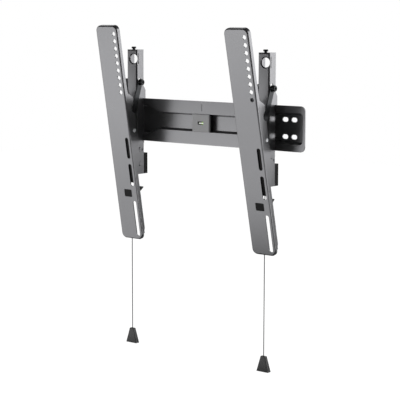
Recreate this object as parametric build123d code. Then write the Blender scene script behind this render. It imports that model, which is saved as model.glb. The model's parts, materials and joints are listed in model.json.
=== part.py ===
# Tilting wall bracket for a flat screen: a pressed wall plate, two tilting arms on hooked brackets,
# and a sprung latch with a pull cord in each bracket.
# Millimetres. X runs along the wall, Y runs into the wall, Z is up.
# The origin is the middle of the wall plate, on the wall.
import math
import os

from build123d import *

# Wall plate: a pressed sheet whose pocket lies on the wall and whose bands stand proud of it
plate_length = 480.0
plate_height = 84.0
plate_corner = 10.0
plate_sheet = 2.0
plate_proud = 12.0
pocket_slope = 20.5
pocket_round = 8.0
pad_margin = 4.5
pad_length = 94.5
pad_height = 58.0
flare_length = 33.0
channel_height = 34.5
bolt_slot_length = 13.0
bolt_slot_width = 8.5
bolt_column_step = 20.0
bolt_row_step = 31.6
bolt_inset = 30.5
mark_radius = 1.3
mark_depth = 0.8
mark_step = 3.4
mark_count = 4

# Spirit level in the middle of the channel
level_width = 42.0
level_height = 34.0
level_cap = 3.6
level_round = 1.5
vial_radius = 3.8
vial_length = 24.0
level_window_width = 14.0
level_window_height = 6.0
vial_round = 1.3

# Arms: folded channels with a rim all round and ears for the pivots
arm_width = 54.5
arm_length = 430.0
arm_sheet = 2.0
arm_corner = 11.0
arm_bend = 3.0
rim_depth = 9.0
lower_rim_depth = 11.0
bottom_lip = 6.5
arm_top_margin = 16.0
screen_step = 100.0
holes_per_step = 7
hole_count = 9
hole_radius = 4.2
hole_inset = 9.25
upper_slot = (204.8, 247.1)
middle_slot = (258.0, 303.3)
long_slot = (333.7, 406.1)
window_start = 310.7
window_height = 15.2
window_width = 19.4
window_inset = 3.8
window_round = 2.0
ear_depth = 22.5
ear_start = 118.0
ear_end = 250.0
ear_rise = 10.0
ear_notch_at = 150.0
ear_notch_radius = 10.0
flange_root = 5.0
flange_lead = 18.0
ear_toe = 1.0
ear_tail = 24.0
ear_tail_rise = 1.5
flange_step_below = 32.0
foot_open = 12.0
foot_slope = 10.0
ear_notch_past = 2.5
ear_rounds = {2: 6.0, 3: 4.0, 4: 12.0, 5: 12.0}

# Buffer that clips into the arm's window and points at the wall
buffer_reach = 46.0
buffer_shoulder_radius = 5.0
buffer_shoulder_at = 35.0
buffer_base_radius = 7.5
buffer_tip_radius = 1.2
buffer_base_at = 15.0
buffer_flange = 2.0
buffer_barb = 1.0
buffer_clear = 0.2
buffer_sunk = 0.5

# Brackets: folded channels that hang on the plate
bracket_spread = 161.0
bracket_width = 26.0
bracket_sheet = 2.0
bracket_bend = 3.0
cheek_depth = 19.7
bracket_top = 138.0
bracket_bottom = -108.0
top_lip_depth = 17.0
hook_height = 24.0
hook_reach = 8.3
hook_thick = 3.2
hook_round = 3.0
hook_lap = 4.0
hook_shoulder = (5.0, 8.0)
hook_nose = (2.5, 3.0)
sight_hole_radius = 9.0
sight_hole_dish = 2.0
sight_hole_offset = 3.6
sight_hole_below_top = 18.0
sight_slit_setback = 4.8
sight_slit_width = 2.4
sight_slit_height = 20.0

# Tilt: the arm turns on the pivot pin, and a pair of links holds it to the tilt bolt
rest_tilt = {"left": 10.0, "right": 12.5}
most_tilt = 13.0
pivot_along = 248.0
pivot_depth = 12.0
pivot_reach = 18.0
pivot_height = -73.0
pivot_radius = 4.0
link_along = 193.0
link_depth = 15.3
link_length = 97.8
link_width = 12.0
link_sheet = 2.0
link_pin_radius = 3.0
spacer_wall = 2.0
tilt_bolt_radius = 4.0
tilt_bolt_setback = 8.0
tilt_head_radius = 5.7
tilt_head_length = 6.5
nut_across = 13.0
nut_length = 6.5
tilt_slot_spare = 0.6
rivet_head = 1.7
rivet_lap = 2.0
link_pin_lap = 1.0
rivet_round = 1.4
rivet_bevel = 0.9
washer_thick = 1.2
washer_lap = 1.0
tilt_head_round = 2.0
tilt_socket = (2.9, 3.0)
bolt_end_spare = 1.5

# Ears that carry the pivot pin, riveted to the bracket
ear_plate_sheet = 2.0
ear_plate_height = 46.0
ear_plate_back = 11.2
ear_plate_nose = 9.0
ear_rivet_radius = 2.5
ear_rivet_step = 28.0
ear_rivet_setback = 6.0
ear_rivet_tail = 1.0
ear_plate_brow = 2.0
ear_plate_rounds = {1: 5.0, 2: 4.0, 3: 4.0, 4: 5.0}

# Lock screw in the bracket's top lip
top_screw_radius = 2.5
top_screw_length = 9.0
top_screw_collar = 2.0
top_screw_head = 4.6
top_screw_head_length = 3.6
top_screw_setback = 6.0
top_screw_round = 1.2
top_screw_neck = 2.7
top_screw_slot = (1.2, 1.4)

# Latch that slides in the bracket and catches behind the plate's lower band
latch_travel = 8.0
latch_catch = 6.0
latch_width = 18.0
latch_sheet = 2.0
latch_setback = 8.0
latch_top = -32.0
latch_bottom = -82.0
tooth_width = 4.0
tooth_thick = 3.0
tooth_drop = 4.0
tooth_root = 2.0
tooth_lead = 1.5
latch_round = 3.0
guide_radius = 2.4
guide_head_radius = 4.2
guide_head_length = 1.2
guide_shoulder = 4.0
upper_guide = -46.0
lower_guide = -68.0
tab_depth = 9.4
ferrule_radius = 1.8
ferrule_length = 5.0

# Spring that holds the latch up, hung on a post in the cheek
spring_post_height = -59.5
spring_post_radius = 1.4
spring_wire_sides = 6
spring_wire = 0.8
spring_radius = 2.4
spring_pitch = 2.3
spring_across = 6.5
spring_setback = 14.5

# Rubber pad that keeps the bracket's foot off the wall
pad_rubber_height = 41.0
pad_tongue = 1.3
pad_rubber_round = 2.0

# Pull cord and handle
cord_radius = 0.8
cord_across = -6.0
cord_setback = 15.5
cord_length = {"left": 339.0, "right": 345.0}
handle_height = 30.0
handle_top = (8.5, 6.5)
handle_foot = (18.0, 13.0)
handle_round = 1.5

# Clearances
seat = 0.3
snug = 0.05
run = 0.08
slide = 0.35
side_gap = 0.4
past = 1.0

# Places that follow from the sizes
web_front = -(plate_proud + seat + cheek_depth)
web_back = web_front + bracket_sheet
cheek_back = -(plate_proud + seat)
cheek_out = bracket_width / 2
cheek_in = cheek_out - bracket_sheet
band_back = -(plate_proud - plate_sheet)
plate_top = plate_height / 2
plate_foot = -plate_height / 2
pocket_fall = (plate_proud - plate_sheet) * math.tan(math.radians(pocket_slope))
pivot_y = web_front - pivot_reach
bolt_y = web_front + tilt_bolt_setback
hole_x = arm_width / 2 - hole_inset
window_x = hole_x - window_inset - window_width / 2
arm_in = arm_width / 2 - arm_sheet
link_in = cheek_out + side_gap
link_out = link_in + link_sheet
ear_out = cheek_out + ear_plate_sheet
latch_y = web_front + latch_setback


def box(x, y, z):
    # A block from pairs of limits.
    spans = [high - low for low, high in (x, y, z)]
    middle = [(low + high) / 2 for low, high in (x, y, z)]
    return Pos(*middle) * Box(*spans)


def rod_x(radius, x, y, z):
    return Pos((x[0] + x[1]) / 2, y, z) * Rot(0, 90, 0) * Cylinder(radius, x[1] - x[0])


def rod_y(radius, x, y, z):
    return Pos(x, (y[0] + y[1]) / 2, z) * Rot(90, 0, 0) * Cylinder(radius, y[1] - y[0])


def rod_z(radius, x, y, z):
    return Pos(x, y, (z[0] + z[1]) / 2) * Cylinder(radius, z[1] - z[0])


def tube_x(outer, inner, x, y, z):
    return rod_x(outer, x, y, z) - rod_x(inner, x, y, z)


def side_sheet(face, x):
    # A face drawn in Y and Z, thickened along X.
    return extrude(Plane.YZ.offset(x[0]) * face, amount=x[1] - x[0])


def outline(points, rounds=None):
    # A closed outline, with the corners that rounds names made round.
    face = make_face(Polyline(*points, close=True))
    for corner, radius in (rounds or {}).items():
        near = Vector(*points[corner])
        face = fillet(face.vertices().sort_by_distance(near)[0], radius)
    return face


def both_sides(solid):
    return solid + mirror(solid, about=Plane.YZ)


def capsule(start, end, radius):
    # The outline of a bar with round ends, in the plane's own two directions.
    run_y = end[0] - start[0]
    run_z = end[1] - start[1]
    length = math.hypot(run_y, run_z)
    turn = math.degrees(math.atan2(run_z, run_y))
    middle = ((start[0] + end[0]) / 2, (start[1] + end[1]) / 2)
    return Pos(*middle) * Rot(0, 0, turn) * SlotOverall(length + 2 * radius, 2 * radius)


# Where the link's lower pin and the tilt bolt lie for a tilt


def link_pin_place(tilt):
    turn = math.radians(tilt)
    up = pivot_along - link_along
    back = link_depth - pivot_depth
    y = pivot_y - up * math.sin(turn) + back * math.cos(turn)
    z = pivot_height + up * math.cos(turn) + back * math.sin(turn)
    return y, z


def tilt_bolt_height(tilt):
    y, z = link_pin_place(tilt)
    return z + math.sqrt(link_length**2 - (bolt_y - y) ** 2)


# Wall plate and level


def pocket_face():
    end = plate_length / 2 - pad_margin
    pad_start = end - pad_length
    channel_start = pad_start - flare_length
    left = [
        (-end, pad_height / 2),
        (-pad_start, pad_height / 2),
        (-channel_start, channel_height / 2),
    ]
    upper = left + [(-x, z) for x, z in reversed(left)]
    points = upper + [(x, -z) for x, z in reversed(upper)]
    return outline(points, {corner: pocket_round for corner in range(len(points))})


def wall_plate():
    front = Plane(origin=(0, -plate_proud, 0), x_dir=(1, 0, 0), z_dir=(0, 1, 0))
    sheet = extrude(front * RectangleRounded(plate_length, plate_height, plate_corner), amount=plate_sheet)
    pocket = pocket_face()
    skin = plate_sheet / math.cos(math.radians(pocket_slope))
    outer = extrude(front * offset(pocket, skin), amount=plate_proud, taper=pocket_slope)
    inner = extrude(front * pocket, amount=plate_proud - plate_sheet, taper=pocket_slope)
    plate = sheet + outer - inner
    column = plate_length / 2 - bolt_inset
    for side in (-1, 1):
        for x in (column, column - bolt_column_step):
            for z in (-bolt_row_step / 2, bolt_row_step / 2):
                slot = front * Pos(side * x, z) * SlotOverall(bolt_slot_length, bolt_slot_width)
                plate -= extrude(slot, amount=plate_proud + plate_sheet)
    band_middle = (plate_top + channel_height / 2) / 2
    for number in range(mark_count):
        z = band_middle + (number - (mark_count - 1) / 2) * mark_step
        plate -= rod_y(mark_radius, 0, (-plate_proud, -plate_proud + mark_depth), z)
    return plate


def level_places():
    back = -plate_sheet - seat
    cap_back = -plate_proud - seat
    cap_front = cap_back - level_cap
    vial_y = cap_front + vial_radius + seat
    return back, cap_back, cap_front, vial_y


def level_housing():
    back, cap_back, cap_front, vial_y = level_places()
    half = level_width / 2
    body_half = channel_height / 2 - pocket_fall - seat
    cap = box((-half, half), (cap_front, cap_back), (-level_height / 2, level_height / 2))
    cap = fillet(cap.edges().group_by(Axis.Y)[0], level_round)
    body = box((-half, half), (cap_back, back), (-body_half, body_half))
    housing = cap + body
    housing -= rod_x(vial_radius + seat, (-vial_length / 2 - seat, vial_length / 2 + seat), vial_y, 0)
    window = (-level_window_width / 2, level_window_width / 2)
    sill = (-level_window_height / 2, level_window_height / 2)
    return housing - box(window, (cap_front, vial_y), sill)


def level_vial():
    vial_y = level_places()[3]
    vial = rod_x(vial_radius, (-vial_length / 2, vial_length / 2), vial_y, 0)
    return fillet(vial.edges(), vial_round)


# Arm, drawn upright about its pivot: the face is in front and the rim points back


def arm_face(along):
    # The height above the pivot of a place measured down the arm from its first hole.
    return pivot_along - along


def arm_pan():
    top = arm_face(-arm_top_margin)
    middle = top - arm_length / 2
    front = Plane(origin=(0, -pivot_depth, middle), x_dir=(1, 0, 0), z_dir=(0, 1, 0))
    outer = extrude(front * RectangleRounded(arm_width, arm_length, arm_corner), amount=rim_depth)
    outer = fillet(outer.edges().group_by(Axis.Y)[0], arm_bend)
    inner_size = (arm_width - 2 * arm_sheet, arm_length - 2 * arm_sheet)
    inner_face = front.offset(arm_sheet) * RectangleRounded(*inner_size, arm_corner - arm_sheet)
    inner = extrude(inner_face, amount=rim_depth)
    inner = fillet(inner.edges().group_by(Axis.Y)[0], arm_bend - arm_sheet)
    return outer - inner


def arm_side():
    # The part of a flange that stands deeper than the rim, with the ear that holds both pins.
    tail = arm_length - arm_top_margin - foot_open
    spans = [
        (ear_start - flange_lead, flange_root),
        (ear_start - flange_lead, rim_depth),
        (ear_start, rim_depth + ear_toe),
        (ear_start + ear_rise, ear_depth),
        (ear_end, ear_depth),
        (ear_end + ear_tail, lower_rim_depth + ear_tail_rise),
        (pivot_along + flange_step_below, lower_rim_depth),
        (tail - foot_slope, lower_rim_depth),
        (tail, bottom_lip),
        (tail, flange_root),
    ]
    points = [(depth - pivot_depth, arm_face(along)) for along, depth in spans]
    face = outline(points, ear_rounds)
    notch = Pos(ear_depth + ear_notch_past - pivot_depth, arm_face(ear_notch_at))
    face -= notch * Circle(ear_notch_radius)
    return side_sheet(face, (arm_in, arm_width / 2))


def arm():
    body = arm_pan() + both_sides(arm_side())
    front = -pivot_depth
    foot = arm_face(arm_length - arm_top_margin)
    half = arm_width / 2
    body -= box((-half, half), (front + bottom_lip, front + rim_depth), (foot, foot + foot_open))
    step = screen_step / holes_per_step
    through = (front - past, front + arm_sheet + past)
    for number in range(hole_count):
        body -= rod_y(hole_radius, hole_x, through, arm_face(number * step))
    face = Plane(origin=(0, through[0], 0), x_dir=(1, 0, 0), z_dir=(0, 1, 0))
    for start, end in (upper_slot, middle_slot, long_slot):
        slot = Pos(hole_x, -arm_face((start + end) / 2)) * Rot(0, 0, 90)
        body -= extrude(face * slot * SlotOverall(end - start, 2 * hole_radius), amount=arm_sheet + 2 * past)
    window_z = arm_face(window_start + window_height / 2)
    window = Pos(window_x, -window_z) * RectangleRounded(window_width, window_height, window_round)
    body -= extrude(face * window, amount=arm_sheet + 2 * past)
    for radius, along, depth in (
        (pivot_radius, pivot_along, pivot_depth),
        (link_pin_radius, link_along, link_depth),
    ):
        body -= rod_x(radius + snug, (-half, half), depth - pivot_depth, arm_face(along))
    return body


def wall_buffer():
    # A clip plug in the window, with a pointed stem that reaches for the wall.
    front = -pivot_depth
    z = arm_face(window_start + window_height / 2)
    plug = (window_width - 2 * buffer_clear, window_height - 2 * buffer_clear)
    barbs = (window_width + 2 * buffer_barb, window_height + 2 * buffer_barb)
    plane = Plane(origin=(window_x, front + buffer_sunk, z), x_dir=(1, 0, 0), z_dir=(0, 1, 0))
    body = extrude(plane * RectangleRounded(*plug, window_round), amount=arm_sheet)
    behind = Plane(origin=(window_x, front + arm_sheet + snug, z), x_dir=(1, 0, 0), z_dir=(0, 1, 0))
    body += extrude(behind * RectangleRounded(*barbs, window_round), amount=buffer_flange)
    stem = [
        (0, arm_sheet),
        (buffer_base_radius, arm_sheet),
        (buffer_base_radius, buffer_base_at),
        (buffer_shoulder_radius, buffer_shoulder_at),
        (buffer_tip_radius, buffer_reach - buffer_tip_radius),
        (buffer_tip_radius / 2, buffer_reach),
        (0, buffer_reach),
    ]
    profile = Plane(origin=(window_x, front, z), x_dir=(1, 0, 0), z_dir=(0, 0, 1)) * outline(stem)
    return body + revolve(profile, axis=Axis((window_x, front, z), (0, 1, 0)))


def pivot_pin():
    # Peened flush with both flanges of the arm.
    return rod_x(pivot_radius, (-arm_width / 2, arm_width / 2), 0, 0)


def link_pin():
    # A pin with a domed head outside each flange of the arm.
    y = link_depth - pivot_depth
    z = arm_face(link_along)
    end = arm_width / 2 + snug
    head = rod_x(link_pin_radius + link_pin_lap, (end, end + rivet_head), y, z)
    head = fillet(head.edges().group_by(Axis.X)[-1], rivet_round)
    return rod_x(link_pin_radius, (-end, end), y, z) + both_sides(head)


def pivot_spacers():
    # Sleeves between the arm's lobes and the bracket's ears.
    reach = (ear_out + side_gap, arm_in - snug)
    return both_sides(tube_x(pivot_radius + spacer_wall, pivot_radius + snug, reach, 0, 0))


def link_spacers():
    # Sleeves on the link pin, one between the links and one outside each.
    y = link_depth - pivot_depth
    z = arm_face(link_along)
    radius = link_pin_radius + spacer_wall
    outer = tube_x(radius, link_pin_radius + snug, (link_out + seat, arm_in - snug), y, z)
    inner_half = link_in - seat
    inner = tube_x(radius, link_pin_radius + snug, (-inner_half, inner_half), y, z)
    return Compound(children=[outer, mirror(outer, about=Plane.YZ), inner])


# Bracket, its ears and its screw


def hook_face():
    # The hook that drops behind the upper band, with the gap that the band sits in.
    top = plate_top + hook_height
    tip = plate_top - hook_reach
    back = band_back + seat + hook_thick
    inner = cheek_back - hook_lap
    points = [
        (inner, top),
        (back - hook_shoulder[0], top),
        (back, top - hook_shoulder[1]),
        (back, tip + hook_nose[1]),
        (back - hook_nose[0], tip),
        (band_back + seat, tip),
        (band_back + seat, plate_top + seat),
        (cheek_back, plate_top + seat),
        (cheek_back, tip),
        (inner, tip),
    ]
    return outline(points, {1: hook_round, 2: hook_round})


def tilt_slot_cut():
    low = tilt_bolt_height(most_tilt) - tilt_slot_spare
    high = tilt_bolt_height(0) + tilt_slot_spare
    face = capsule((bolt_y, low), (bolt_y, high), tilt_bolt_radius + slide)
    return side_sheet(face, (-cheek_out - past, cheek_out + past))


def ear_rivet_heights():
    return (pivot_height - ear_rivet_step / 2, pivot_height + ear_rivet_step / 2)


def tilt_bracket():
    tall = (bracket_bottom, bracket_top)
    outer = box((-cheek_out, cheek_out), (web_front, cheek_back), tall)
    bends = outer.edges().filter_by(Axis.Z).group_by(Axis.Y)[0]
    bends += outer.edges().filter_by(Axis.X).group_by(Axis.Y)[0].sort_by(Axis.Z)[-1:]
    outer = fillet(bends, bracket_bend)
    hollow = box((-cheek_in, cheek_in), (web_back, cheek_back), (bracket_bottom, bracket_top - bracket_sheet))
    hollow = fillet(hollow.edges().filter_by(Axis.Z).group_by(Axis.Y)[0], bracket_bend - bracket_sheet)
    body = outer - hollow
    lip_end = (web_front + top_lip_depth, cheek_back)
    body -= box((-cheek_in, cheek_in), lip_end, (bracket_top - bracket_sheet, bracket_top))
    body += both_sides(side_sheet(hook_face(), (cheek_in, cheek_out)))
    body -= tilt_slot_cut()
    sight_z = bracket_top - sight_hole_below_top
    through = (web_front, web_back + bracket_bend)
    body -= rod_y(sight_hole_radius, sight_hole_offset, through, sight_z)
    dish = Cone(sight_hole_radius, sight_hole_radius + sight_hole_dish, sight_hole_dish)
    body -= Pos(sight_hole_offset, web_front + sight_hole_dish / 2, sight_z) * Rot(90, 0, 0) * dish
    slit_y = web_front + sight_slit_setback
    slit_half = (sight_slit_height - sight_slit_width) / 2
    slit = capsule((slit_y, sight_z - slit_half), (slit_y, sight_z + slit_half), sight_slit_width / 2)
    body -= side_sheet(slit, (cheek_in - past, cheek_out + past))
    for z in ear_rivet_heights():
        y = web_front + ear_rivet_setback
        body -= rod_x(ear_rivet_radius + snug, (-cheek_out - past, cheek_out + past), y, z)
    for z in (upper_guide, lower_guide):
        body -= rod_y(guide_radius + snug, 0, (web_front - past, web_back + past), z)
    post_hole = spring_post_radius + snug
    post_y = web_front + spring_setback
    body -= rod_x(post_hole, (cheek_in - past, cheek_out + past), post_y, spring_post_height)
    screw_y = web_front + top_screw_setback
    lip = (bracket_top - bracket_sheet - past, bracket_top + past)
    body -= rod_z(top_screw_radius + snug, 0, screw_y, lip)
    return body


def pivot_ears():
    # Plates on the outside of the cheeks that reach forward to the pivot pin.
    back = web_front + ear_plate_back
    half = ear_plate_height / 2
    points = [
        (pivot_y, pivot_height + ear_plate_nose),
        (web_front - ear_plate_brow, pivot_height + half),
        (back, pivot_height + half),
        (back, pivot_height - half),
        (web_front - ear_plate_brow, pivot_height - half),
        (pivot_y, pivot_height - ear_plate_nose),
    ]
    face = outline(points, ear_plate_rounds)
    face += Pos(pivot_y, pivot_height) * Circle(ear_plate_nose)
    face -= Pos(pivot_y, pivot_height) * Circle(pivot_radius + run)
    for z in ear_rivet_heights():
        face -= Pos(web_front + ear_rivet_setback, z) * Circle(ear_rivet_radius + snug)
    return both_sides(side_sheet(face, (cheek_out, ear_out)))


def ear_rivets():
    y = web_front + ear_rivet_setback
    rivets = []
    for z in ear_rivet_heights():
        shank = rod_x(ear_rivet_radius, (cheek_in - snug, ear_out + snug), y, z)
        outer = rod_x(ear_rivet_radius + rivet_lap, (ear_out + snug, ear_out + snug + rivet_head), y, z)
        outer = chamfer(outer.edges().group_by(Axis.X)[-1], rivet_bevel)
        tail = (cheek_in - snug - ear_rivet_tail, cheek_in - snug)
        inner = rod_x(ear_rivet_radius + rivet_lap / 2, tail, y, z)
        rivet = shank + outer + inner
        rivets += [rivet, mirror(rivet, about=Plane.YZ)]
    return Compound(children=rivets)


def top_screw():
    y = web_front + top_screw_setback
    collar = bracket_top + snug
    head = collar + top_screw_collar
    screw = rod_z(top_screw_radius, 0, y, (bracket_top - top_screw_length, head + snug))
    screw += rod_z(top_screw_neck, 0, y, (collar, head))
    top = head + top_screw_head_length
    cap = rod_z(top_screw_head, 0, y, (head, top))
    cap = fillet(cap.edges().group_by(Axis.Z)[-1], top_screw_round)
    slot_half = top_screw_slot[0] / 2
    slot_tall = (top - top_screw_slot[1], top + past)
    cap -= box((-top_screw_head, top_screw_head), (y - slot_half, y + slot_half), slot_tall)
    return screw + cap


def wall_pad():
    # The pad sits on the back edges of both cheeks, with a tongue between them.
    tall = (bracket_bottom, bracket_bottom + pad_rubber_height)
    pad = box((-cheek_out, cheek_out), (cheek_back + snug, 0), tall)
    pad = fillet(pad.edges().filter_by(Axis.Z).group_by(Axis.Y)[-1], pad_rubber_round)
    tongue_half = cheek_in - snug
    return pad + box((-tongue_half, tongue_half), (cheek_back - pad_tongue, cheek_back + snug), tall)


# Links and the tilt bolt


def link_bar(tilt):
    pin = link_pin_place(tilt)
    bolt = (bolt_y, tilt_bolt_height(tilt))
    face = capsule(pin, bolt, link_width / 2)
    face -= Pos(*pin) * Circle(link_pin_radius + run)
    face -= Pos(*bolt) * Circle(tilt_bolt_radius + snug)
    return side_sheet(face, (link_in, link_out))


def tilt_bolt(tilt):
    z = tilt_bolt_height(tilt)
    head_start = link_out + snug
    end = -(link_out + snug + nut_length + bolt_end_spare)
    bolt = rod_x(tilt_bolt_radius, (end, head_start), bolt_y, z)
    flange_end = head_start + washer_thick
    flange = rod_x(tilt_head_radius + washer_lap, (head_start, flange_end), bolt_y, z)
    head_end = head_start + tilt_head_length
    head = rod_x(tilt_head_radius, (flange_end, head_end), bolt_y, z)
    head = fillet(head.edges().group_by(Axis.X)[-1], tilt_head_round)
    socket_radius, socket_depth = tilt_socket
    socket = Plane.YZ.offset(head_end - socket_depth) * Pos(bolt_y, z) * RegularPolygon(socket_radius, 6)
    return bolt + flange + head - extrude(socket, amount=socket_depth + past)


def tilt_nut(tilt):
    z = tilt_bolt_height(tilt)
    start = -(link_out + snug + nut_length)
    face = Plane.YZ.offset(start) * Pos(bolt_y, z) * RegularPolygon(nut_across / 2, 6, major_radius=False)
    nut = extrude(face, amount=nut_length)
    washer_start = -(link_out + snug + washer_thick)
    washer_radius = nut_across / 2 + washer_lap
    nut += rod_x(washer_radius, (washer_start, washer_start + washer_thick), bolt_y, z)
    return nut - rod_x(tilt_bolt_radius + snug, (start - past, 0), bolt_y, z)


# Latch, its guides, spring, cord and handle


def latch():
    half = latch_width / 2
    sheet_back = latch_y + latch_sheet
    plate = box((-half, half), (latch_y, sheet_back), (latch_bottom, latch_top))
    plate = fillet(plate.edges().filter_by(Axis.Y).group_by(Axis.Z)[-1], latch_round)
    root = plate_foot - tooth_root
    tooth_front = band_back + seat
    for side in (-1, 1):
        x = tuple(sorted((side * half, side * (half - tooth_width))))
        plate += box(x, (latch_y, tooth_front + tooth_thick), (root - tooth_drop, root))
        rise = [
            (tooth_front, root),
            (tooth_front, plate_foot + latch_catch - tooth_lead),
            (tooth_front + tooth_lead, plate_foot + latch_catch),
            (tooth_front + tooth_thick, plate_foot + latch_catch),
            (tooth_front + tooth_thick, root),
        ]
        plate += side_sheet(outline(rise), x)
    tab = (latch_bottom, latch_bottom + latch_sheet)
    plate += box((-half, half), (latch_y, latch_y + tab_depth), tab)
    for z in (upper_guide, lower_guide):
        face = capsule((0, z), (0, z + latch_travel + seat), guide_radius + seat)
        slot = extrude(Plane.XZ.offset(-sheet_back - past) * face, amount=latch_sheet + 2 * past)
        plate -= slot
    y = web_front + cord_setback
    ferrule = rod_z(ferrule_radius, cord_across, y, (latch_bottom - ferrule_length, latch_bottom))
    return plate + ferrule


def latch_guides():
    # Shoulder rivets from the web through the latch's two slots.
    rivets = []
    for z in (upper_guide, lower_guide):
        head = latch_y + latch_sheet + seat
        rivet = rod_y(guide_radius, 0, (web_front, head), z)
        rivet += rod_y(guide_shoulder, 0, (web_back + snug, latch_y - seat), z)
        rivet += rod_y(guide_head_radius, 0, (head, head + guide_head_length), z)
        front = rod_y(guide_head_radius, 0, (web_front - snug - guide_head_length, web_front - snug), z)
        front = chamfer(front.edges().group_by(Axis.Y)[0], rivet_bevel)
        rivet += front + rod_y(guide_radius, 0, (web_front - snug, web_front), z)
        rivets.append(rivet)
    return Compound(children=rivets)


def spring_post():
    y = web_front + spring_setback
    inner_end = spring_across - spring_radius - spring_wire / 2
    post = rod_x(spring_post_radius, (inner_end, cheek_out + snug), y, spring_post_height)
    head_reach = (cheek_out + snug, cheek_out + snug + washer_thick)
    head = rod_x(spring_post_radius + rivet_lap / 2, head_reach, y, spring_post_height)
    return post + chamfer(head.edges().group_by(Axis.X)[-1], rivet_bevel)


def latch_spring():
    top = spring_post_height - spring_post_radius - seat - spring_wire / 2
    foot = latch_bottom + latch_sheet + seat + spring_wire / 2
    y = web_front + spring_setback
    path = Pos(spring_across, y, foot) * Helix(spring_pitch, top - foot, spring_radius)
    # The wire is drawn with a few flat sides, because the spring has many turns.
    section = Plane(path @ 0, z_dir=path % 0) * RegularPolygon(spring_wire / 2, spring_wire_sides)
    return sweep(section, path=path, is_frenet=True)


def cord_top():
    return latch_bottom - ferrule_length


def pull_cord(length):
    y = web_front + cord_setback
    return rod_z(cord_radius, cord_across, y, (cord_top() - length, cord_top()))


def pull_handle(length):
    top = cord_top() - length
    y = web_front + cord_setback
    upper = Plane(origin=(cord_across, y, top)) * RectangleRounded(*handle_top, handle_round)
    lower = Plane(origin=(cord_across, y, top - handle_height)) * RectangleRounded(*handle_foot, handle_round)
    return loft([lower, upper])


# Write every piece to its own file


def write(name, shape):
    export_step(shape, f"parts/{name}.step")


os.makedirs("parts", exist_ok=True)
write("wall_plate", wall_plate())
write("level_housing", level_housing())
write("level_vial", level_vial())

arm_pieces = {
    "arm": arm(),
    "wall_buffer": wall_buffer(),
    "pivot_pin": pivot_pin(),
    "pivot_spacers": pivot_spacers(),
    "link_pin": link_pin(),
    "link_spacers": link_spacers(),
}
bracket_pieces = {
    "tilt_bracket": tilt_bracket(),
    "pivot_ears": pivot_ears(),
    "ear_rivets": ear_rivets(),
    "top_screw": top_screw(),
    "wall_pad": wall_pad(),
    "latch_guides": latch_guides(),
    "spring_post": spring_post(),
    "latch": latch(),
    "latch_spring": latch_spring(),
}
for side, across in (("left", -bracket_spread), ("right", bracket_spread)):
    tilt = rest_tilt[side]
    for name, shape in arm_pieces.items():
        write(f"{side}_{name}", Pos(across, pivot_y, pivot_height) * Rot(tilt, 0, 0) * shape)
    for name, shape in bracket_pieces.items():
        write(f"{side}_{name}", Pos(across, 0, 0) * shape)
    write(f"{side}_pull_cord", Pos(across, 0, 0) * pull_cord(cord_length[side]))
    write(f"{side}_pull_handle", Pos(across, 0, 0) * pull_handle(cord_length[side]))
    outer_link = link_bar(tilt)
    write(f"{side}_link_outer", Pos(across, 0, 0) * outer_link)
    write(f"{side}_link_inner", Pos(across, 0, 0) * mirror(outer_link, about=Plane.YZ))
    write(f"{side}_tilt_bolt", Pos(across, 0, 0) * tilt_bolt(tilt))
    write(f"{side}_tilt_nut", Pos(across, 0, 0) * tilt_nut(tilt))
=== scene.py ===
# Looks, cords, camera and light for the tilting wall bracket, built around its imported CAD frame.
# Metres, in the CAD's own frame: X along the wall, Y into the wall, Z up.
import json
import math

import bpy
from mathutils import Matrix, Vector


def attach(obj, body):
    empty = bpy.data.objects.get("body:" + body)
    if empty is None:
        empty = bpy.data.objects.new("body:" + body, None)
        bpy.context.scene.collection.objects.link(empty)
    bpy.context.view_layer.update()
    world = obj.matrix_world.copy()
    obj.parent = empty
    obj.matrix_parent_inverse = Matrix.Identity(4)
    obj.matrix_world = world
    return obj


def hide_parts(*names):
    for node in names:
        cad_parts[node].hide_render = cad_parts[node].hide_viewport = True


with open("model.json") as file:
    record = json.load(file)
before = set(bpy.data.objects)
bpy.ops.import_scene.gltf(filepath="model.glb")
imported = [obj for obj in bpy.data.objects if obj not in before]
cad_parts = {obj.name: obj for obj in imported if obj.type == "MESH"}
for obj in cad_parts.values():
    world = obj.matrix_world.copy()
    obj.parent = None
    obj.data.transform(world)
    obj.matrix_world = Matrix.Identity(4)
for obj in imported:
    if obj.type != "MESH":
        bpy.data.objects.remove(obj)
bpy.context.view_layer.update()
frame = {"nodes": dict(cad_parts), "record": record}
nodes = frame["nodes"]
sides = {"left": -1, "right": 1}
bracketSpread = 0.161  # from the middle of the plate to the middle of each bracket
print("frame loaded:", len(nodes), "nodes")


# Camera, at the photograph's viewing angle

cameraSet = {
    "place": (1.6743, -2.0845, 0.2076),
    "around": 39.0,        # degrees from straight in front, towards +X
    "above": 7.62,         # degrees
    "roll": 0.12,          # degrees
    "focal": 1391.0,       # pixels, for an image 400 pixels wide
    "image": 400.0,
    "sensor": 36.0,        # millimetres
    "farthest": 50.0,
}


def placeCamera():
    around, above, roll = (math.radians(cameraSet[name]) for name in ("around", "above", "roll"))
    back = Vector((math.sin(around) * math.cos(above), -math.cos(around) * math.cos(above), math.sin(above)))
    right = Vector((math.cos(around), math.sin(around), 0.0))
    up = back.cross(right)
    turnedRight = right * math.cos(roll) + up * math.sin(roll)
    turnedUp = up * math.cos(roll) - right * math.sin(roll)
    data = bpy.data.cameras.new("photoCamera")
    data.sensor_width = cameraSet["sensor"]
    data.lens = cameraSet["focal"] * cameraSet["sensor"] / cameraSet["image"]
    data.clip_end = cameraSet["farthest"]
    camera = bpy.data.objects.new("photoCamera", data)
    bpy.context.collection.objects.link(camera)
    turn = Matrix((turnedRight, turnedUp, back)).transposed().to_4x4()
    camera.matrix_world = Matrix.Translation(cameraSet["place"]) @ turn
    bpy.context.scene.camera = camera


placeCamera()
print("camera placed")


# Helpers for materials


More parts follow.
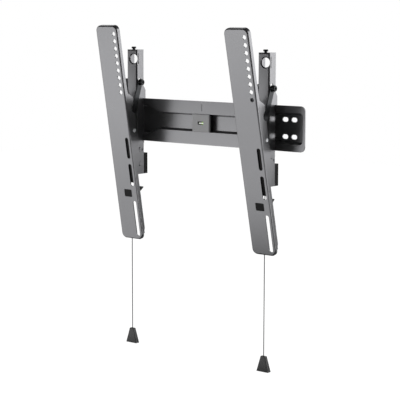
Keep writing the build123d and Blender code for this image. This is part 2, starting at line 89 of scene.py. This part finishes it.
def hexColour(text):
    # sRGB hex to the linear colour that shaders take
    channels = [int(text[i:i + 2], 16) / 255 for i in (1, 3, 5)]
    return tuple(c / 12.92 if c <= 0.04045 else ((c + 0.055) / 1.055) ** 2.4 for c in channels) + (1.0,)


def addNode(tree, kind, settings=None, links=None):
    # settings name the node's own properties or its inputs, and links the inputs that take another's output
    node = tree.nodes.new(kind)
    for name, value in (settings or {}).items():
        if isinstance(name, str) and hasattr(node, name):
            setattr(node, name, value)
        else:
            node.inputs[name].default_value = value
    for name, output in (links or {}).items():
        tree.links.new(output, node.inputs[name])
    return node


def newMaterial(name):
    material = bpy.data.materials.new(name)
    material.use_nodes = True
    tree = material.node_tree
    tree.nodes.clear()
    place = addNode(tree, "ShaderNodeTexCoord").outputs["Object"]
    return material, tree, place


def finishMaterial(material, tree, shader):
    addNode(tree, "ShaderNodeOutputMaterial", links={"Surface": shader.outputs[0]})
    return material


def perMetre(millimetres):
    # Texture scale for grains of that size, in Object coordinates measured in metres
    return 1000.0 / millimetres


rampSpan = (0.3, 0.7)  # the part of the grain's range that runs from the dark to the light colour


def grainedMaterial(name, look):
    # Colour, roughness and relief follow the grain, or the drift and the peel where the look has them
    material, tree, place = newMaterial(name)
    texture = look.get("texture", "ShaderNodeTexNoise")
    patterns = {
        use: addNode(tree, texture, look[use], {"Vector": place}).outputs["Fac"]
        for use in ("grain", "drift", "peel") if use in look
    }
    grain = patterns["grain"]
    ramp = addNode(tree, "ShaderNodeValToRGB", links={"Fac": grain})
    for stop, position, shade in zip(ramp.color_ramp.elements, rampSpan, ("dark", "light")):
        stop.position = position
        stop.color = hexColour(look[shade])
    links = {"Base Color": ramp.outputs["Color"]}
    # Black from the depth blackFrom back, which darkens a piece's sides behind its front
    if "blackFrom" in look:
        depth = addNode(tree, "ShaderNodeSeparateXYZ", links={"Vector": place}).outputs["Y"]
        behind = addNode(
            tree, "ShaderNodeMath", {"operation": "GREATER_THAN", 1: look["blackFrom"]}, {0: depth}
        )
        blackBehind = addNode(
            tree, "ShaderNodeMix", {"data_type": "RGBA", 7: hexColour(look["black"])},
            {0: behind.outputs[0], 6: ramp.outputs["Color"]},
        )
        links["Base Color"] = blackBehind.outputs[2]
    if "roughness" in look:
        low, high = look["roughness"]
        rough = addNode(
            tree, "ShaderNodeMapRange", {"To Min": low, "To Max": high}, {"Value": patterns.get("drift", grain)}
        )
        links["Roughness"] = rough.outputs["Result"]
    if "relief" in look:
        bump = addNode(tree, "ShaderNodeBump", look["relief"], {"Height": patterns.get("peel", grain)})
        links["Normal"] = bump.outputs["Normal"]
    return finishMaterial(material, tree, addNode(tree, "ShaderNodeBsdfPrincipled", look["shader"], links))


# Materials. A relief's Distance is its depth in metres.

# Polyester powder coat with metal flake on pressed steel: a satin dark silver that mirrors the room softly,
# with an orange peel that shows only as a faint unevenness in the highlights.
powderCoat = grainedMaterial("graphitePowderCoat", {
    "dark": "#808082", "light": "#858587", "roughness": (0.26, 0.31),
    "grain": {"Scale": perMetre(0.8), "Detail": 1.0},       # the flakes
    "drift": {"Scale": perMetre(60.0), "Detail": 3.0},
    "peel": {"Scale": perMetre(2.4), "Detail": 2.0},
    "relief": {"Strength": 0.2, "Distance": 0.000006},
    "shader": {"Metallic": 0.92},
})

# Steel with a black zinc plating: near black, with a soft oily highlight and faint tumbling marks.
blackSteel = grainedMaterial("blackZincSteel", {
    "dark": "#343536", "light": "#454648", "roughness": (0.28, 0.4),
    "grain": {"Scale": perMetre(1.2), "Detail": 4.0},
    "shader": {"Metallic": 0.85},
})

# Rivets, pins and springs in bright zinc plating: pale, slightly blue, with a fine drawn grain.
brightSteel = grainedMaterial("brightZincSteel", {
    "dark": "#CFD1D3", "light": "#E2E4E6", "roughness": (0.45, 0.55),
    "grain": {"Scale": perMetre(0.8), "Detail": 3.0},
    "relief": {"Strength": 0.3, "Distance": 0.000006},
    "shader": {"Metallic": 0.75},
})

# Moulded rubber foot: deep black and dull, with the bloom of talc in its pores.
rubber = grainedMaterial("nitrileRubber", {
    "dark": "#0B0B0B", "light": "#141414",
    "grain": {"Scale": perMetre(0.9), "Detail": 5.0},       # the pores
    "relief": {"Strength": 0.5, "Distance": 0.00005},
    "shader": {"Roughness": 0.72, "Specular IOR Level": 0.3},
})

# Injection-moulded ABS and nylon with a spark-eroded texture: an even colour with a broad soft sheen. The
# grey ABS turns black from the depth blackFrom back to the wall, which darkens the level housing's sides.
mouldedLook = {
    "roughness": (0.4, 0.5),
    "grain": {"Scale": perMetre(0.5), "Detail": 3.0},
    "relief": {"Strength": 0.4, "Distance": 0.00001},
}
blackAbs = grainedMaterial("blackMouldedAbs", {
    **mouldedLook, "dark": "#131314", "light": "#1B1B1C", "shader": {"IOR": 1.53, "Specular IOR Level": 0.7},
})
greyAbs = grainedMaterial("greyMouldedAbs", {
    **mouldedLook, "dark": "#7E7E7F", "light": "#888889", "blackFrom": -0.0118, "black": "#0E0E0E",
    "shader": {"IOR": 1.53, "Specular IOR Level": 0.5},
})
bufferNylon = grainedMaterial("blackNylon", {
    **mouldedLook, "dark": "#070707", "light": "#0C0C0C", "shader": {"IOR": 1.53, "Specular IOR Level": 0.15},
})

# Braided polyester cord: dull black, its strands crossing in a fine diagonal pattern. A wave texture puts
# twenty bands in one unit of its scale.
cordMaterial = grainedMaterial("braidedCord", {
    "dark": "#080808", "light": "#141414", "texture": "ShaderNodeTexWave",
    "grain": {
        "wave_type": "BANDS", "bands_direction": "DIAGONAL", "Scale": perMetre(1.1) / 20, "Distortion": 0.6,
    },
    "relief": {"Strength": 0.7, "Distance": 0.00012},
    "shader": {"Roughness": 0.9, "Specular IOR Level": 0.1},
})


def tintedVial():
    # Acrylic vial: painted shade darkens it left of the yellow-green liquid at its right end, and a pale bubble
    # runs along its middle, under a wet gloss.
    look = {
        "shade": "#0D0F0A", "liquid": "#86B53A", "bubble": "#E6ECDF",
        "liquidFrom": 0.0022, "bubbleFrom": -0.0037, "bubbleHalf": 0.0011,
        "shader": {"Roughness": 0.08, "IOR": 1.49, "Coat Weight": 0.6, "Coat Roughness": 0.03},
    }
    material, tree, place = newMaterial("tintedVial")
    axes = addNode(tree, "ShaderNodeSeparateXYZ", links={"Vector": place}).outputs
    inLiquid, pastStart = (
        addNode(tree, "ShaderNodeMath", {"operation": "GREATER_THAN", 1: look[name]}, {0: axes["X"]})
        for name in ("liquidFrom", "bubbleFrom")
    )
    offMiddle = addNode(tree, "ShaderNodeMath", {"operation": "ABSOLUTE"}, {0: axes["Z"]})
    nearMiddle = addNode(
        tree, "ShaderNodeMath", {"operation": "LESS_THAN", 1: look["bubbleHalf"]}, {0: offMiddle.outputs[0]}
    )
    inBubble = addNode(
        tree, "ShaderNodeMath", {"operation": "MULTIPLY"}, {0: pastStart.outputs[0], 1: nearMiddle.outputs[0]}
    )
    # Painted shade: left of liquidFrom the vial takes the dark shade colour, except along the bubble
    filled = addNode(
        tree, "ShaderNodeMix", {"data_type": "RGBA", 6: hexColour(look["shade"]), 7: hexColour(look["liquid"])},
        {0: inLiquid.outputs[0]},
    )
    shown = addNode(
        tree, "ShaderNodeMix", {"data_type": "RGBA", 7: hexColour(look["bubble"])},
        {0: inBubble.outputs[0], 6: filled.outputs[2]},
    )
    shader = addNode(tree, "ShaderNodeBsdfPrincipled", look["shader"], {"Base Color": shown.outputs[2]})
    return finishMaterial(material, tree, shader)


vialMaterial = tintedVial()
slotMaterials = {
    "powder_coat": powderCoat, "blackened_steel": blackSteel, "zinc_steel": brightSteel, "pad_rubber": rubber,
    "black_plastic": blackAbs, "grey_plastic": greyAbs, "vial": vialMaterial, "cord": cordMaterial,
}
slotOfNode = {part["node"]: part["material_slot"] for part in frame["record"]["subparts"]}
finishOfPiece = {
    "wall_buffer": bufferNylon, "ear_rivets": powderCoat, "pivot_pin": powderCoat, "spring_post": blackSteel,
    "link_outer": blackSteel, "link_inner": blackSteel,
}
for name, node in nodes.items():
    ownFinish = finishOfPiece.get(name.split("_", 1)[1])
    for slot in node.material_slots:
        slot.material = ownFinish or slotMaterials[slotOfNode[name]]
print("materials on all CAD nodes")


# Helpers for meshes

smoothAngle = 35.0      # degrees; flatter edges than this are shaded smooth
bevelAngle = 50.0       # degrees; sharper edges than this are softened
facingShare = 0.9       # how far a face's normal has to point a way to count as facing it


def clearSelection():
    if bpy.context.object and bpy.context.object.mode != "OBJECT":
        bpy.ops.object.mode_set(mode="OBJECT")
    bpy.ops.object.select_all(action="DESELECT")


def addBox(name, middle, size):
    clearSelection()
    bpy.ops.mesh.primitive_cube_add(size=1.0, location=middle)
    box = bpy.context.object
    box.name = name
    box.scale = size
    bpy.ops.object.transform_apply(location=True, rotation=True, scale=True)
    return box


def pickFaces(piece, way):
    # Selects the faces that look that way, and stays in edit mode
    bpy.ops.object.mode_set(mode="EDIT")
    bpy.ops.mesh.select_mode(type="FACE")
    bpy.ops.mesh.select_all(action="DESELECT")
    bpy.ops.object.mode_set(mode="OBJECT")
    for polygon in piece.data.polygons:
        polygon.select = polygon.normal.dot(Vector(way)) > facingShare
    bpy.ops.object.mode_set(mode="EDIT")


def pushFace(piece, way, rim, move):
    # Leaves a rim round the face on that side and moves what is inside the rim
    pickFaces(piece, way)
    bpy.ops.mesh.inset(thickness=rim, depth=0.0)
    bpy.ops.mesh.extrude_region_move(TRANSFORM_OT_translate={"value": move})
    bpy.ops.object.mode_set(mode="OBJECT")


def softenEdges(piece, width, segments):
    bevel = piece.modifiers.new("Bevel", "BEVEL")
    bevel.width = width
    bevel.segments = segments
    bevel.angle_limit = math.radians(bevelAngle)
    bpy.ops.object.modifier_apply(modifier=bevel.name)


def finishPiece(piece, material, body):
    # Shades the piece and hands it to its body
    clearSelection()
    piece.select_set(True)
    bpy.context.view_layer.objects.active = piece
    bpy.ops.object.shade_smooth_by_angle(angle=math.radians(smoothAngle))
    piece.data.materials.clear()
    piece.data.materials.append(material)
    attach(piece, body)


# Pull handles: plain tapered grips with soft edges and a hollow foot

handleSet = {
    "top": (0.0105, 0.0062), "foot": (0.0272, 0.0100), "height": 0.030,
    "edge": 0.0012, "edgeSegments": 4, "footWall": 0.0016, "footDepth": 0.004,
}


def pullHandle(name, x, y, top):
    tall = handleSet["height"]
    handle = addBox(name, (x, y, top - tall / 2), (*handleSet["foot"], tall))
    pickFaces(handle, (0, 0, 1))
    shrink = [small / large for small, large in zip(handleSet["top"], handleSet["foot"])]
    bpy.ops.transform.resize(value=(*shrink, 1.0))
    pushFace(handle, (0, 0, -1), handleSet["footWall"], (0, 0, handleSet["footDepth"]))
    softenEdges(handle, handleSet["edge"], handleSet["edgeSegments"])
    return handle


# Pull cords: each hangs from the latch's ferrule to its handle, and the left one drifts a little outward
# below the bracket, as in the photograph. driftFrom and driftTo are drops below the ferrule.

cordSet = {
    "across": -0.006, "behind": -0.0165, "top": -0.087, "diameter": 0.0016,
    "length": {"left": 0.339, "right": 0.345},
    "drift": {"left": -0.009, "right": 0.0}, "driftFrom": 0.025, "driftTo": 0.105,
    "straightEnd": 0.01, "rings": 12, "roundness": 3, "order": 3,
}


def cordCurve(name, points):
    curve = bpy.data.curves.new(name, "CURVE")
    curve.dimensions = "3D"
    curve.bevel_depth = cordSet["diameter"] / 2
    curve.bevel_resolution = cordSet["roundness"]
    curve.resolution_u = cordSet["rings"]
    curve.use_fill_caps = True
    spline = curve.splines.new("NURBS")
    spline.points.add(len(points) - 1)
    for point, place in zip(spline.points, points):
        point.co = (*place, 1.0)
    spline.order_u = cordSet["order"]
    spline.use_endpoint_u = True
    curve.materials.append(cordMaterial)
    cord = bpy.data.objects.new(name, curve)
    bpy.context.collection.objects.link(cord)
    return cord


def pullCord(side, sign):
    x = sign * bracketSpread + cordSet["across"]
    y = cordSet["behind"]
    top = cordSet["top"]
    length = cordSet["length"][side]
    drift, low, high = cordSet["drift"][side], cordSet["driftFrom"], cordSet["driftTo"]
    end = length - drift ** 2 / (2 * (high - low))  # the slant takes up a little of the length
    straight = cordSet["straightEnd"]
    drops = (0.0, straight, low, high, (high + end) / 2, end - straight, end)
    cord = cordCurve(
        f"{side}PullCord", [(x + drift if drop >= high else x, y, top - drop) for drop in drops]
    )
    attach(cord, f"{side}_catch")
    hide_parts(f"{side}_pull_cord")
    handle = pullHandle(f"{side}PullHandle", x + drift, y, top - end)
    finishPiece(handle, blackAbs, f"{side}_catch")
    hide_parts(f"{side}_pull_handle")


for side, sign in sides.items():
    pullCord(side, sign)
print("cords and handles hung")


# Where a small piece stands on its arm. It is drawn on an upright arm, measured from the arm's first hole,
# and then leans with the arm about the arm's pivot.

armSet = {
    "pivot": (-0.050, -0.073),                  # Y and Z in the frame
    "pivotDepth": 0.012,                        # behind the arm's front
    "pivotAlong": 0.248,                        # down from the first hole
    "tilt": {"left": 10.0, "right": 12.5},      # degrees
}


def placeOnArm(side):
    lean = Matrix.Rotation(math.radians(armSet["tilt"][side]), 4, "X")
    pivot = Matrix.Translation((sides[side] * bracketSpread, *armSet["pivot"]))
    return pivot @ lean @ Matrix.Translation((0, -armSet["pivotDepth"], armSet["pivotAlong"]))


# Socket screw parked in the ninth hole of the right arm, its head looking out of the arm's front

parkedSet = {
    "across": 0.018, "spaces": 8, "sevenSpaces": 0.1,       # seven spaces between the holes make 100 mm
    "from": -0.0002, "radius": 0.0039, "long": 0.006, "vertices": 40,
    "socket": 0.0022, "socketDeep": 0.0022, "edge": 0.0005, "edgeSegments": 2,
}


def parkedScrew():
    clearSelection()
    bpy.ops.mesh.primitive_cylinder_add(
        vertices=parkedSet["vertices"], radius=parkedSet["radius"], depth=parkedSet["long"]
    )
    screw = bpy.context.object
    screw.name = "rightParkedScrew"
    pushFace(screw, (0, 0, 1), parkedSet["radius"] - parkedSet["socket"], (0, 0, -parkedSet["socketDeep"]))
    softenEdges(screw, parkedSet["edge"], parkedSet["edgeSegments"])
    along = parkedSet["spaces"] * parkedSet["sevenSpaces"] / 7
    middle = (parkedSet["across"], parkedSet["from"] + parkedSet["long"] / 2, -along)
    headFirst = Matrix.Rotation(math.radians(90), 4, "X")
    screw.data.transform(placeOnArm("right") @ Matrix.Translation(middle) @ headFirst)
    finishPiece(screw, blackSteel, "right_swing")


parkedScrew()
print("parked screw set")


# Black sheets behind the two short slots of each arm: painted shade for the dark inside of the arm seen through
# the slots

slotShadeSet = {
    "across": (0.0125, 0.0235), "along": (0.198, 0.2965), "deep": (0.0021, 0.0041),
    "rib": 0.0012, "ribHigh": 0.0008, "edge": 0.0005, "edgeSegments": 2,
}


def paintedSlotShade(side):
    spans = (slotShadeSet["across"], slotShadeSet["deep"], [-value for value in reversed(slotShadeSet["along"])])
    middle = [(low + high) / 2 for low, high in spans]
    # The sheet is painted shade, black where the slots show the arm's dark inside
    shadeSheet = addBox(f"{side}SlotShadeSheet", middle, [high - low for low, high in spans])
    pushFace(shadeSheet, (0, 1, 0), slotShadeSet["rib"], (0, -slotShadeSet["ribHigh"], 0))
    softenEdges(shadeSheet, slotShadeSet["edge"], slotShadeSet["edgeSegments"])
    shadeSheet.data.transform(placeOnArm(side))
    finishPiece(shadeSheet, bufferNylon, f"{side}_swing")


for side in sides:
    paintedSlotShade(side)
print("slot shadeSheets set")


# Studio: a pale floor, a white background, two soft boxes, and cards that only reflections see

studioSet = {
    "floorHeight": -0.62, "floorSize": 9.0, "floorColour": "#E9E9E9",
    "floorGlow": 1.15, "floorGlowShare": 0.82,      # as the camera and reflections see the floor
    "background": 1.0, "fill": 0.55,
}
# Each card: size, place, the point it faces, colour and strength
cardSet = {
    "cameraSideCard": ((5.0, 2.6), (1.0, -1.05, 0.1), (0.0, 0.0, 0.0), "#040404", 1.0),
    "ceilingCard": ((2.6, 2.4), (0.0, -0.2, 1.1), (0.0, -0.2, 0.0), "#060606", 1.0),
    "floorCard": ((2.2, 1.3), (0.55, 0.15, -0.58), (0.55, 0.15, 0.0), "#444444", 1.0),
    "frontLeftCard": ((1.3, 0.66), (-0.98, -1.38, -0.33), (0.0, 0.0, -0.2), "#FFFFFF", 1.8),
    "topLeftCard": ((1.8, 1.3), (-0.98, -1.38, 0.65), (0.0, 0.0, 0.3), "#505050", 1.0),
    "frontFloorCard": ((0.8, 0.6), (-0.4, -0.92, -0.6), (-0.4, -0.92, 0.0), "#FFFFFF", 1.38),
    "backRightCard": ((1.1, 1.75), (1.37, 1.08, 0.27), (0.15, 0.0, 0.2), "#FFFFFF", 2.8),
    "backLowCard": ((1.0, 0.5), (0.63, 1.18, -0.4), (0.0, 0.0, -0.3), "#141414", 1.0),
    "backMiddleCard": ((1.0, 1.5), (0.4, 1.48, 0.1), (0.0, 0.0, 0.0), "#1C1C1C", 1.0),
}
# Each soft box: size, place and power in watts; both face the middle of the bracket
boxSet = {
    "frontLeftBox": ((1.0, 1.4), (-1.5, -1.7, 1.0), 30.0),
    "backRightBox": ((1.0, 1.4), (1.6, 0.9, 0.7), 16.0),
}


def plainCard(name, size, place, facing, colour, strength):
    clearSelection()
    bpy.ops.mesh.primitive_plane_add(size=1.0, location=place)
    card = bpy.context.object
    card.name = name
    card.scale = (*size, 1.0)
    card.rotation_euler = (Vector(facing) - Vector(place)).to_track_quat("Z", "Y").to_euler()
    material, tree, _ = newMaterial(name + "Paint")
    shader = addNode(tree, "ShaderNodeEmission", {"Color": hexColour(colour), "Strength": strength})
    card.data.materials.append(finishMaterial(material, tree, shader))
    card.visible_camera = False
    card.visible_diffuse = False
    card.visible_shadow = False
    card.visible_transmission = False


def softBox(name, size, place, power):
    data = bpy.data.lights.new(name, "AREA")
    data.shape = "RECTANGLE"
    data.size, data.size_y = size
    data.energy = power
    lamp = bpy.data.objects.new(name, data)
    bpy.context.collection.objects.link(lamp)
    lamp.location = place
    lamp.rotation_euler = (-Vector(place)).to_track_quat("-Z", "Y").to_euler()
    lamp.visible_glossy = False  # the cards make the reflections


def paleFloor():
    clearSelection()
    bpy.ops.mesh.primitive_plane_add(size=studioSet["floorSize"], location=(0, 0, studioSet["floorHeight"]))
    floor = bpy.context.object
    floor.name = "paleFloor"
    material, tree, _ = newMaterial("paleFloorPaint")
    path = addNode(tree, "ShaderNodeLightPath").outputs
    seen = addNode(
        tree, "ShaderNodeMath", {"operation": "MAXIMUM"}, {0: path["Is Camera Ray"], 1: path["Is Glossy Ray"]}
    )
    share = addNode(
        tree, "ShaderNodeMath", {"operation": "MULTIPLY", 1: studioSet["floorGlowShare"]}, {0: seen.outputs[0]}
    )
    paint = addNode(tree, "ShaderNodeBsdfDiffuse", {"Color": hexColour(studioSet["floorColour"])})
    glow = addNode(tree, "ShaderNodeEmission", {"Strength": studioSet["floorGlow"]})
    mixed = addNode(
        tree, "ShaderNodeMixShader", links={0: share.outputs[0], 1: paint.outputs[0], 2: glow.outputs[0]}
    )
    floor.data.materials.append(finishMaterial(material, tree, mixed))


def whiteWorld():
    # The camera and reflections see plain white, and the pieces are lit by less of it
    world = bpy.data.worlds.new("whiteStudio")
    bpy.context.scene.world = world
    world.use_nodes = True
    tree = world.node_tree
    tree.nodes.clear()
    path = addNode(tree, "ShaderNodeLightPath").outputs
    seen = addNode(
        tree, "ShaderNodeMath", {"operation": "MAXIMUM"}, {0: path["Is Camera Ray"], 1: path["Is Glossy Ray"]}
    )
    shown = addNode(
        tree, "ShaderNodeMath", {"operation": "MAXIMUM"}, {0: seen.outputs[0], 1: path["Is Transmission Ray"]}
    )
    fill, white = (
        addNode(tree, "ShaderNodeBackground", {"Color": hexColour("#FFFFFF"), "Strength": studioSet[name]})
        for name in ("fill", "background")
    )
    both = addNode(
        tree, "ShaderNodeMixShader", links={0: shown.outputs[0], 1: fill.outputs[0], 2: white.outputs[0]}
    )
    addNode(tree, "ShaderNodeOutputWorld", links={"Surface": both.outputs[0]})


paleFloor()
whiteWorld()
for name, values in cardSet.items():
    plainCard(name, *values)
for name, values in boxSet.items():
    softBox(name, *values)
bpy.context.scene.view_settings.view_transform = "Standard"
print("studio lit")
